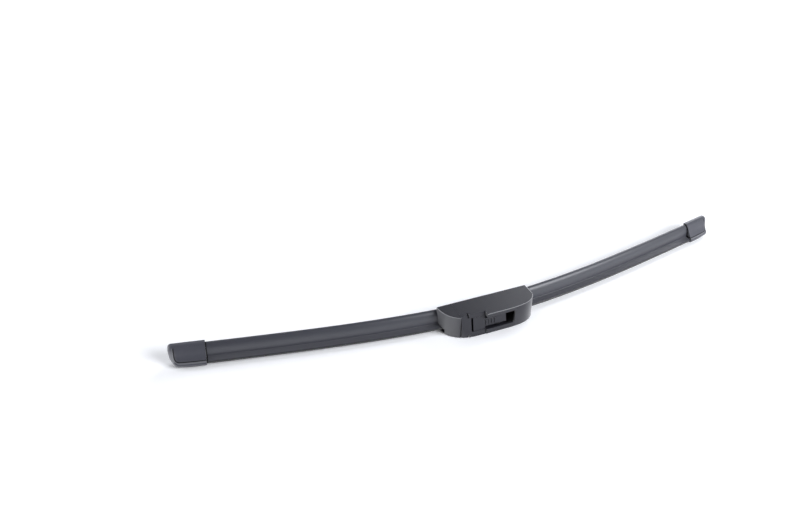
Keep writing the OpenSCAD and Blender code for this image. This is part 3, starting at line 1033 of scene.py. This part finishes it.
@dataclass
class EndCaps:
    """The two clip-on caps: a smooth face, bordered by a groove and a rim, lowered at the tip.

    Sizes are in mm. Along the cap, height, lean and rise hold at the knots, and groove_fade at
    groove_knots. A corner's size is its length along the cap and its depth across it. From
    shallow_from on, over shallow_over, the groove loses the part shallow of its depth beside
    the leeward rim. The pocket's steps are the heights of the rails' two sides and the head's.
    """

    bow: Bow
    beam: BeamSection
    length: float = 26.0
    wall: float = 1.0
    seat: float = 0.15
    skirt: float = 0.7
    bend: float = 17.0
    nose: float = 23.2
    knots: tuple[float, ...] = (0, 9.0, 17.4, 21.6, 22.4, 23.7, 24.8, 25.5, 25.8, 26.0)
    height: tuple[float, ...] = (1, 0.992, 0.972, 0.955, 0.938, 0.87, 0.805, 0.75, 0.7, 0.6)
    lean: tuple[float, ...] = (0, 0.012, 0.06, 0.14, 0.19, 0.31, 0.42, 0.49, 0.5, 0.47)
    rise: tuple[float, ...] = (0, 0, 0, 0.04, 0.06, 0.1, 0.15, 0.15, 0.15, 0.12)
    corner_high: tuple[float, float] = (3.0, 3.0)
    corner_low: tuple[float, float] = (8.0, 4.2)
    groove: float = 1.7
    groove_z: float = -3.8
    groove_wall: float = 0.22
    groove_reach: float = 0.42
    groove_knots: tuple[float, ...] = (0, 15, 19.5, 22.5, 26)
    groove_fade: tuple[float, ...] = (1, 0.9, 0.5, 0.16, 0.05)
    face_end: float = 22.0
    face_corner: float = 3.6
    face_foot: float = 3.0
    off_face: float = 9.0
    foot_slope: float = 2.0
    skirt_line: float = 2.2
    shallow: float = 0.75
    shallow_from: float = 18.0
    shallow_over: float = 4.0
    shallow_rim: float = 0.5
    grip: float = 8.0
    solid_end: float = 5.0
    web_half: float = 3.4
    rail_half: float = 5.0
    slot_depth: float = 2.0
    pocket_depth: float = 4.0
    pocket_steps: tuple[float, float, float] = (0.7, 1.5, 2.3)
    section_points: int = 160
    section_corner: float = 0.8
    finer: float = 3.0
    finer_reach: float = 1.6
    finer_from: float = 4.0
    rings: int = 41
    round_rings: int = 26
    first_turn: float = 2.0

    @property
    def cover(self) -> float:
        """How far the skin lies outside the beam."""
        return self.wall + self.seat

    def section(self) -> np.ndarray:
        """Outer outline at the mouth, without its groove.

        It is divided by a measure that grows by up to finer times more where the groove runs.

        Returns:
            Rounded outline of shape (section_points, 2) in mm as (height, side).
        """
        w, fin = self.cover, self.beam.fin
        top, low = self.beam.half + w, -self.beam.half - w
        corners = np.array([
            [-w, low], [0.5, low - self.skirt], [fin - 0.7, low - self.skirt],
            [fin + 0.5, low - 0.4], [fin + w, low + 0.7], [fin + w + 0.15, low + 1.6],
            [fin + w - 0.1, low + 2.4], [fin - 0.1, low + 3.0], [fin - 0.6, low + 3.9],
            [fin - 1.3, low + 4.7], [fin - 2.2, low + 5.7], [6.4, top - 7], [5.6, top - 5.3],
            [4.7, top - 3.6], [3.6, top - 2], [2.3, top - 0.7], [0.9, top], [-w, top],
        ])
        curve = rounded(corners, self.section_corner, 6)
        curve = np.concatenate([curve, curve[:1]])
        way = running_length(curve)
        from_groove = (curve[:, 1] - self.groove_z) / self.finer_reach
        density = 1 + self.finer * np.exp(-from_groove**2) * (curve[:, 0] > self.finer_from)
        measure = np.concatenate([[0.0], np.cumsum((density[1:] + density[:-1]) / 2
                                                   * np.diff(way))])
        wanted = np.interp(np.linspace(0, measure[-1], self.section_points + 1)[:-1], measure,
                           way)
        return np.stack([np.interp(wanted, way, curve[:, k]) for k in (0, 1)], -1)

    def corner(self, x: np.ndarray, size: tuple[float, float]) -> np.ndarray:
        """How far one of the tip's corners, a quarter of an ellipse, has turned in.

        Args:
            x: Positions along the cap.
            size: The corner's length along the cap and its depth across it.

        Returns:
            The way in from the side, of x's shape.
        """
        length, depth = size
        past = np.clip((x - self.length + length) / length, 0.0, 1.0)
        return depth * (1 - np.sqrt(1 - past**2))

    def border(self, x: np.ndarray, z: np.ndarray) -> np.ndarray:
        """Signed distance to the face's border, a straight line with a rounded corner.

        Negative on the face, positive on the rim: the distance formula of a rounded box whose
        sides lie at face_end along the cap and at groove_z across it.

        Args:
            x: Positions along the cap.
            z: Positions across it.

        Returns:
            Distances, of the shape that x and z give together.
        """
        px = x - (self.face_end - self.face_corner)
        pz = (self.groove_z + self.face_corner) - z
        outside = np.hypot(np.maximum(px, 0), np.maximum(pz, 0))
        return outside + np.minimum(np.maximum(px, pz), 0) - self.face_corner

    def pressed(self, x: np.ndarray, outline: np.ndarray) -> np.ndarray:
        """How deep the groove is pressed in along the face's border.

        It is a steep wall on the face's side and fades out exponentially on the rim's side.
        It runs only on the front, above the skirt, and gets shallow round the tip.

        Args:
            x: Positions along the cap, shape (k,).
            outline: The section, shape (m, 2).

        Returns:
            Depths of shape (k, m).
        """
        height, side = outline.T
        away = self.border(x[:, None], side[None])
        press = np.where(away < 0, np.clip(1 + away / self.groove_wall, 0, 1),
                         np.exp(-away / self.groove_reach))
        fade = np.interp(x, self.groove_knots, self.groove_fade)[:, None]
        tip = np.clip((x - self.shallow_from) / self.shallow_over, 0, 1)[:, None]
        loss = self.shallow * tip * (side[None] > self.groove_z + self.shallow_rim)
        front = np.clip((height - self.face_foot) / self.foot_slope, 0, 1)
        over_skirt = side >= self.groove_z - self.skirt_line
        return self.groove * fade * (1 - loss) * press * front * over_skirt

    def shell(self) -> tuple[np.ndarray, np.ndarray]:
        """Outer surface of a cap in its own frame.

        The outline at the distance x from the mouth is lowered by a smooth factor, more at the
        leeward side and less at the windward one, pulled in by the two corner arcs of the tip,
        and pressed in by the groove.

        Returns:
            Positions along the cap, shape (k,), and outlines of shape (k, m, 3) in mm.
        """
        turn = np.radians(np.linspace(self.first_turn, 90.0, self.round_rings))
        x = np.concatenate([np.linspace(0.0, self.bend, self.rings + 1)[:-1],
                            np.linspace(self.bend, self.nose, self.rings + 1)[:-1],
                            self.nose + (self.length - self.nose) * np.sin(turn)])
        high, lean, rise = (smooth_through(x, self.knots, known)[:, None]
                            for known in (self.height, self.lean, self.rise))
        outline = self.section()
        low = -self.beam.half - self.cover - self.skirt
        wide = 2 * self.beam.half + 2 * self.cover + self.skirt
        from_low, from_high = (self.corner(x, size)[:, None]
                               for size in (self.corner_low, self.corner_high))
        side = outline[:, 1] - low
        factor = high - lean * (1 - side / wide) + rise * (side / wide) ** 2
        n = (outline[:, 0] + self.cover) * factor - self.cover - self.pressed(x, outline)
        z = low + from_low + side * (1 - (from_low + from_high) / wide)
        return x, np.stack([np.broadcast_to(x[:, None], n.shape), n, z], -1)

    def cavity(self, extra: float, x0: float, x1: float) -> np.ndarray:
        """Cutter for the beam's seat.

        Args:
            extra: How much wider it is over the ramp and under the fin.
            x0: Where it starts along the cap.
            x1: Where it ends.

        Returns:
            Its two outlines, shape (2, m, 3).
        """
        g, half, ramp = self.seat, self.beam.half, self.beam.ramp
        slot, foot = self.web_half + extra / 2 + g, -self.slot_depth - extra
        over, seat = self.beam.outside(g + extra), self.beam.outside(g)
        outline = np.concatenate([
            [[foot, slot], [-g, slot], [-g, half + g + extra]],
            over[(over[:, 0] < ramp) & (over[:, 1] > 0)],
            seat[seat[:, 0] > ramp + g],
            [[ramp, -half - g - extra], [-g, -half - g - extra], [-g, -slot], [foot, -slot]],
        ])
        return self.prism(outline, x0, x1)

    def pocket(self) -> np.ndarray:
        """Cutter for the ends of the rails and of the rubber.

        Returns:
            Its two outlines, shape (2, m, 3).
        """
        slot, out, head = self.web_half, self.rail_half + self.seat, self.beam.channel_half
        low, high, top = np.array(self.pocket_steps) + self.seat * np.array([-1, 1, 1])
        half = np.array([[-self.pocket_depth, slot], [low, slot], [low, out], [high, out],
                         [high, head], [top, head]])
        outline = np.concatenate([half, half[::-1] * [1, -1]])
        return self.prism(outline, -1.0, self.length - self.solid_end)

    @staticmethod
    def prism(outline: np.ndarray, x0: float, x1: float) -> np.ndarray:
        """An outline at both ends of a straight stretch, shape (2, m, 3)."""
        return np.stack([np.column_stack([np.full(len(outline), x), outline])
                         for x in (x0, x1)])

    def mouth(self) -> tuple[float, float, float]:
        """Where the right cap's mouth lies on the base line.

        Returns:
            Its X and Y in metres, and the heading there in radians.
        """
        station = np.array([self.bow.half - self.length * MM])
        x, y = self.bow.base_line(station)
        return x[0], y[0], self.bow.heading(station)[0]

    def placed(self, points: np.ndarray, sign: int) -> np.ndarray:
        """Moves points from the cap's frame to the blade's tip on one side.

        Args:
            points: Points in mm, shape (..., 3).
            sign: 1 for the right tip, -1 for the left one.

        Returns:
            Points in metres, of the same shape.
        """
        x, y, turn = self.mouth()
        along, n, z = (points[..., k] * MM for k in range(3))
        return np.stack([sign * (x + along * math.cos(turn) + n * math.sin(turn)),
                         y + along * math.sin(turn) - n * math.cos(turn), z], -1)

    def trace_border(self, piece: bpy.types.Object, sign: int) -> None:
        """Writes the distance to the face's border into the V of the cap's UV map, which places
        the painted shade in the groove and the painted highlight on the rim.

        Points lower than face_foot over the base line lie off the face and get off_face.

        Args:
            piece: The finished cap.
            sign: 1 for the right tip, -1 for the left one.
        """
        mesh = piece.data
        x0, y0, turn = self.mouth()
        x, y, z = read_all(mesh.vertices, "co", 3, float).T
        dx, dy = x * sign - x0, y - y0
        along = (dx * math.cos(turn) + dy * math.sin(turn)) / MM
        height = (dx * math.sin(turn) - dy * math.cos(turn)) / MM
        away = np.where(height > self.face_foot, self.border(along, z / MM), self.off_face)
        corners = read_all(mesh.loops, "vertex_index", kind=np.int32)
        uv = np.stack([along, away], -1)[corners] * MM
        mesh.uv_layers[0].data.foreach_set("uv", uv.astype(np.float32).ravel())

    def build(self, finishes: Finishes) -> list[bpy.types.Object]:
        """Builds both caps, each cut out by its three cavities.

        Args:
            finishes: The materials.

        Returns:
            The two pieces.
        """
        x, shell = self.shell()
        cutters = [self.cavity(0.6, -1.4, 2.0), self.cavity(0.0, -1.2, self.grip + 0.5),
                   self.pocket()]
        made = []
        for side, sign in (("left", -1), ("right", 1)):
            piece = lofted(f"cap_moulding_{side}", self.placed(shell, sign), x * MM, 55.0)
            cut_out(piece, [lofted(f"cap_core_{side}_{i}", self.placed(c, sign), np.zeros(2))
                            for i, c in enumerate(cutters)])
            piece.data.set_sharp_from_angle(angle=math.radians(50))
            self.trace_border(piece, sign)
            made.append(finishes.dress(piece, Slot.CAP, f"end_cap_{side}"))
        return made


@dataclass
class Connector:
    """Housing, nose cover, adapter, bracket and rivet in the blade's middle.

    The merging distances and angles, in degrees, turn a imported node's triangles into faces.
    """

    frame: dict
    edge: float = 0.00028
    adapter_edge: float = 0.0002
    bracket_edge: float = 0.00015
    panel_floor: float = 0.0088
    side_face: float = 0.00915
    seam: float = -0.0324
    seam_cover: float = 0.00065
    near: float = 0.00005
    merged: float = 2e-6
    sliver: float = 3e-5
    flat_angle: float = 0.6
    sharp_angle: float = 28.0

    def shape_of(self, node: str, name: str) -> bpy.types.Object:
        """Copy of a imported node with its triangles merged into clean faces.

        Args:
            node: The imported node.
            name: The new object's name.

        Returns:
            The copy, linked to the scene.
        """
        mesh = self.frame["nodes"][node].data.copy()
        mesh.name = name
        self.raise_panels(mesh)
        work = bmesh.new()
        work.from_mesh(mesh)
        bmesh.ops.remove_doubles(work, verts=work.verts, dist=self.merged)
        bmesh.ops.dissolve_limit(work, angle_limit=math.radians(self.flat_angle),
                                 verts=work.verts, edges=work.edges)
        bmesh.ops.dissolve_degenerate(work, dist=self.sliver, edges=work.edges)
        work.to_mesh(mesh)
        work.free()
        mesh.shade_smooth()
        mesh.set_sharp_from_angle(angle=math.radians(self.sharp_angle))
        self.crease_sides(mesh)
        return new_object(name, mesh)

    def raise_panels(self, mesh: bpy.types.Mesh) -> None:
        """Makes the side panels flush and covers the seam there, as in the photograph.

        Points on the panels' floor go to the side face, and those where the nose cover's side
        face meets the seam move towards the housing.

        Args:
            mesh: The copied mesh.
        """
        points = read_all(mesh.vertices, "co", 3)
        x, _, z = points.T
        floor = np.abs(np.abs(z) - self.panel_floor) < 0.4 * self.near
        z[floor] = np.sign(z[floor]) * self.side_face
        seam = (np.abs(x - self.seam) < self.near) & (np.abs(z) > self.side_face - self.near)
        x[seam] += self.seam_cover
        mesh.vertices.foreach_set("co", points.ravel())
        mesh.update()

    @staticmethod
    def crease_sides(mesh: bpy.types.Mesh) -> None:
        """Marks every edge between a flat side face and another face as sharp.

        Args:
            mesh: The copied mesh.
        """
        normals = read_all(mesh.polygons, "normal", 3)
        sizes = read_all(mesh.polygons, "loop_total", kind=np.int32)
        edges = read_all(mesh.loops, "edge_index", kind=np.int32)
        side = np.repeat(np.abs(normals[:, 2]) > 0.99, sizes)
        touched = np.bincount(edges, side, len(mesh.edges))
        sharp = read_all(mesh.edges, "use_edge_sharp", kind=bool)
        mesh.edges.foreach_set("use_edge_sharp", sharp | (touched == 1))

    def moulding(self, node: str, name: str, edge: float) -> bpy.types.Object:
        """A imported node's shape with rounded edges.

        Args:
            node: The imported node.
            name: The new object's name.
            edge: Width of the edges' bevel.

        Returns:
            The new object.
        """
        piece = self.shape_of(node, name)
        soften(piece, edge)
        return piece

    @staticmethod
    def rivet() -> bpy.types.Object:
        """The pivot rivet, turned from its profile, with two domed heads.

        The profile, in mm as (radius, side), is mirrored, and its point at the radius r gives
        the ring (r cos a, r sin a). Both heads have a shallow hollow at their middle.

        Returns:
            The new object.
        """
        shank, head, grip, rim, dome = 2.0, 3.2, 6.05, 0.3, 0.5
        top = grip + rim + dome
        turn = np.radians(np.linspace(0, 90, 8))
        curve = np.stack([head - dome * (1 - np.cos(turn)),
                          grip + rim + dome * np.sin(turn)], -1)
        half = np.concatenate([[[shank, 0.0], [shank, grip], [head, grip]], curve,
                               [[1.2, top], [1.0, top - 0.2], [0.02, top - 0.2]]]) * MM
        profile = np.concatenate([half[::-1] * [1, -1], half[1:]])
        round_turn = np.linspace(0, 2 * np.pi, 49)[:-1]
        radius, side = profile[:, 0, None], profile[:, 1, None]
        rings = np.stack([radius * np.cos(round_turn), radius * np.sin(round_turn),
                          np.broadcast_to(side, (len(profile), len(round_turn)))], -1)
        return lofted("rivet_turned", rings, profile[:, 1], 30.0)

    def build(self, finishes: Finishes) -> list[bpy.types.Object]:
        """Builds every piece of the connector.

        Args:
            finishes: The materials.

        Returns:
            The pieces.
        """
        dress = finishes.dress
        return [
            dress(self.moulding("housing", "housing_moulding", self.edge), Slot.HOUSING,
                  "housing"),
            dress(self.moulding("nose_cover", "nose_moulding", self.edge), Slot.HOUSING,
                  "nose_cover"),
            dress(self.moulding("adapter", "adapter_moulding", self.adapter_edge), Slot.ADAPTER,
                  "adapter", Body.ADAPTER),
            dress(self.moulding("clamp_bracket", "bracket_pressing", self.bracket_edge),
                  Slot.BRACKET, "clamp_bracket"),
            dress(self.rivet(), Slot.RIVET, "pivot_rivet"),
        ]


# ---------------------------------------------------------------- studio


@dataclass(frozen=True)
class Softbox:
    """An area light that faces the blade's middle."""

    name: str
    place: tuple[float, float, float]
    size: tuple[float, float]
    watts: float
    tint: tuple[float, float, float] = (0.93, 0.95, 1.0)

    def build(self) -> bpy.types.Object:
        """Builds the light.

        Returns:
            The light's object.
        """
        light = bpy.data.lights.new(self.name, "AREA")
        light.shape = "RECTANGLE"
        light.size, light.size_y = self.size
        light.energy = self.watts
        light.color = self.tint
        lamp = new_object(self.name, light)
        lamp.location = self.place
        lamp.rotation_euler = (-Vector(self.place)).to_track_quat("-Z", "Y").to_euler()
        return lamp


@dataclass
class Studio:
    """White table, soft light and the photograph's viewpoint.

    The table shows white to the camera from far_full on, and only a little of that within
    far_start of the blade, so that the shadow stays.
    """

    table_z: float
    azimuth: float = 22.5
    elevation: float = 34.0
    lens: float = 35.4
    sensor: float = 36.0
    viewpoint: tuple[float, float, float] = (-0.2465, -0.4027, 0.3592)
    boxes: tuple[Softbox, ...] = (
        Softbox("right_window", (1.3, 0.9, 0.75), (1.3, 0.9), 21.0),
        Softbox("left_window", (-1.5, 0.3, 0.4), (1.2, 0.7), 12.5),
        Softbox("front_right", (0.8, -1.0, 0.75), (0.8, 0.7), 30.0),
        Softbox("overhead", (-0.5, 0.8, 1.4), (1.6, 0.8), 7.5),
    )
    table_half: float = 6.0
    table_cells: int = 24
    table_gap: float = 0.0001
    table_waves: float = 0.00002
    near_glow: float = 0.06
    far_start: float = 0.35
    far_full: float = 0.9
    mirrored_glow: float = 0.75
    sky_light: float = 0.06

    def camera(self) -> None:
        """Sets up the camera, which looks along its azimuth and down by its elevation."""
        data = bpy.data.cameras.new("camera")
        data.sensor_width, data.lens = self.sensor, self.lens
        data.clip_start, data.clip_end = 0.01, 50.0
        viewer = new_object("camera", data)
        turn, tilt = math.radians(self.azimuth), math.radians(self.elevation)
        aim = Vector((math.sin(turn) * math.cos(tilt), math.cos(turn) * math.cos(tilt),
                      -math.sin(tilt)))
        viewer.location = self.viewpoint
        viewer.rotation_euler = aim.to_track_quat("-Z", "Y").to_euler()
        bpy.context.scene.camera = viewer

    def table(self) -> None:
        """A gently uneven white table, a grid whose height is a slow sine of X and Y."""
        cells, points = self.table_cells, self.table_cells + 1
        side = np.linspace(-self.table_half, self.table_half, points)
        x, y = np.meshgrid(side, side, indexing="ij")
        z = self.table_z - self.table_gap - self.table_waves * (1 + np.sin(3 * x) * np.cos(2 * y))
        i, j = np.meshgrid(np.arange(cells), np.arange(cells), indexing="ij")
        a = (i * points + j).ravel()
        mesh = bpy.data.meshes.new("table")
        mesh.from_pydata(np.stack([x, y, z], -1).reshape(-1, 3).tolist(), [],
                         np.stack([a, a + points, a + points + 1, a + 1], -1).tolist())
        mesh.shade_smooth()
        mesh.materials.append(self.table_paper())
        new_object("table", mesh)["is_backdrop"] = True

    def table_paper(self) -> bpy.types.Material:
        """White paper: the camera and reflections see it brighter than it lights the blade.

        Returns:
            The material.
        """
        material = bpy.data.materials.new("table_paper")
        material.use_nodes = True
        tree = material.node_tree
        shader = tree.nodes["Principled BSDF"]
        shader.inputs["Roughness"].default_value = 0.9
        shader.inputs["Specular IOR Level"].default_value = 0.1
        shader.inputs["Emission Color"].default_value = (0.97, 0.98, 1.0, 1.0)
        ray = add_node(tree, "LightPath")
        paper = add_node(tree, "Mix", data_type="RGBA", A=(0.86, 0.86, 0.865, 1.0),
                         B=(1.0, 1.0, 1.0, 1.0))
        position = add_node(tree, "NewGeometry")
        reach = add_node(tree, "VectorMath", operation="LENGTH")
        far = add_node(tree, "MapRange", clamp=True, interpolation_type="SMOOTHSTEP",
                       From_Min=self.far_start, From_Max=self.far_full, To_Min=self.near_glow,
                       To_Max=1.0)
        shown = maths(tree, "MULTIPLY")
        seen = maths(tree, "MULTIPLY_ADD", None, self.mirrored_glow)
        wire(
            tree,
            (ray, "Is Camera Ray", paper, "Factor"), (position, "Position", reach, 0),
            (reach, "Value", far, "Value"), (ray, "Is Camera Ray", shown, 0),
            (far, "Result", shown, 1), (ray, "Is Glossy Ray", seen, 0), (shown, 0, seen, 2),
            (paper, "Result", shader, "Base Color"), (seen, 0, shader, "Emission Strength"),
        )
        return material

    def sky(self) -> None:
        """White surroundings, which light the blade less than they show."""
        world = bpy.data.worlds.new("studio")
        world.use_nodes = True
        tree = world.node_tree
        back = tree.nodes["Background"]
        back.inputs["Color"].default_value = (1.0, 1.0, 1.0, 1.0)
        strength = add_node(tree, "MapRange", To_Min=self.sky_light, To_Max=1.0)
        wire(
            tree,
            (add_node(tree, "LightPath"), "Is Camera Ray", strength, "Value"),
            (strength, "Result", back, "Strength"),
        )
        bpy.context.scene.world = world

    def build(self) -> None:
        """Builds the studio."""
        self.camera()
        self.table()
        self.sky()
        for box in self.boxes:
            box.build()
        bpy.context.scene.view_settings.view_transform = "Standard"


def main() -> None:
    """Builds the blade's pieces and the studio, and reports each piece."""
    logging.basicConfig(level=logging.INFO, format="%(name)s: %(message)s")
    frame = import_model()
    packed = [list(corner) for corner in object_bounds()]
    table_z = packed[0][2]
    finishes = Finishes(Effects())
    for node in ("rail_windward", "rail_leeward"):
        for material_slot in frame["nodes"][node].material_slots:
            material_slot.material = finishes.made[Slot.RAIL]
    bow, beam = Bow(), BeamSection()
    pieces = [*Spoilers(bow, beam).build(finishes), WipingRubber(bow).build(finishes),
              *EndCaps(bow, beam).build(finishes), *Connector(frame).build(finishes)]
    for piece in pieces:
        LOG.info("%s: %d faces", piece.name, len(piece.data.polygons))
    Studio(table_z).build()


if __name__ == "__main__":
    main()
